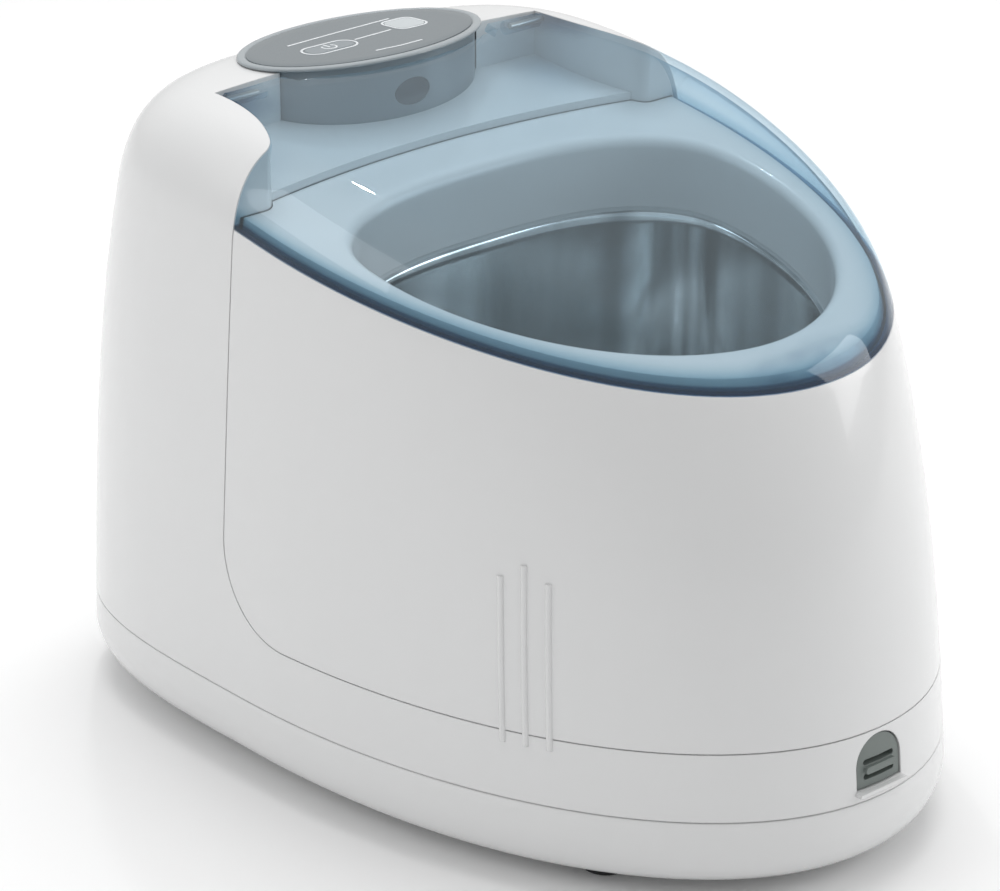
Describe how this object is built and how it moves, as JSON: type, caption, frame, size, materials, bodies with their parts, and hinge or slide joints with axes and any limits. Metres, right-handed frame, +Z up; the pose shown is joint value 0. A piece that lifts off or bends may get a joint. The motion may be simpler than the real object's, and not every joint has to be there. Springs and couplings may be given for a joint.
{
  "type": "paraffin wax bath",
  "caption": "Small heated wax bath with a rounded white housing, a polished tank under a tinted hinged lid, an oval control head and a nose latch.",
  "frame": {"origin": "centre of the footprint, on the floor", "axes": "+Z up, -Y towards the nose and its latch, +Y towards the mains inlet, X across the mirror plane"},
  "size_m": [0.2352, 0.3393, 0.2383],
  "materials": {
    "white_plastic": "glossy white moulded plastic",
    "tinted_plastic": "clear plastic with a light blue tint",
    "smoked_lens": "smoked lens",
    "pale_lens": "milky lens",
    "grey_plastic": "mid grey plastic, silk gloss",
    "latch_grey": "grey-green plastic",
    "black_rubber": "matt black rubber",
    "polished_steel": "polished stainless steel",
    "silicone_seal": "grey silicone",
    "zinc_steel": "zinc plated steel",
    "cast_aluminium": "cast aluminium",
    "element_steel": "sheathed element",
    "brown_moulding": "phenolic moulding",
    "black_plastic": "black plastic",
    "felt": "needled fibre felt",
    "lead_sleeve": "insulated lead",
    "inner_plastic": "plain light grey plastic",
    "contact_brass": "brass contacts",
    "board_green": "circuit board",
    "label_film": "blank silver film label"
  },
  "bodies": {
    "root": {"base_screws": "zinc_steel", "base_tray": "white_plastic", "board_posts": "inner_plastic", "board_screws": "zinc_steel", "board_standoffs": "inner_plastic", "button_switch": "black_plastic", "clamp_ring": "zinc_steel", "clamp_screws": "zinc_steel", "column_window": "smoked_lens", "control_column": "grey_plastic", "control_panel": "grey_plastic", "display_window": "pale_lens", "dock_panel": "inner_plastic", "dock_socket": "black_plastic", "front_housing": "white_plastic", "head_board": "board_green", "heater_element": "element_steel", "heater_leads": "lead_sleeve", "heater_plate": "cast_aluminium", "hinge_pins": "zinc_steel", "indicator_lamp": "pale_lens", "inlet_pins": "contact_brass", "insulation_jacket": "felt", "latch_guide": "inner_plastic", "latch_spring": "zinc_steel", "mains_inlet": "black_plastic", "mains_leads": "lead_sleeve", "power_board": "board_green", "power_parts": "black_plastic", "rating_plate": "label_film", "rear_housing": "white_plastic", "ribbon_cable": "lead_sleeve", "rubber_feet": "black_rubber", "tank": "polished_steel", "tank_deck": "white_plastic", "tank_gasket": "silicone_seal", "temperature_sensor": "black_plastic", "terminal_block": "inner_plastic", "thermal_cutout": "brown_moulding", "thermostat": "brown_moulding", "unit_plug": "black_plastic", "unit_tray": "inner_plastic"},
    "lid": {"lid_shell": "tinted_plastic"},
    "power_key": {"power_button": "grey_plastic"},
    "latch": {"release_latch": "latch_grey"}
  },
  "joints": [
    {"name": "lid_hinge", "type": "hinge", "parent": "root", "child": "lid", "pos_m": [0, 0.086, 0.2317], "axis": [-1, 0, 0], "range_deg": [0, 75]},
    {"name": "key_press", "type": "slide", "parent": "root", "child": "power_key", "axis": [0, -0.0599, -0.9982], "range_m": [0, 0.001], "stiffness_N_per_m": 600},
    {"name": "latch_press", "type": "slide", "parent": "root", "child": "latch", "axis": [0, 1, 0], "range_m": [0, 0.003], "stiffness_N_per_m": 500, "deforming": ["latch_spring"]}
  ]
}
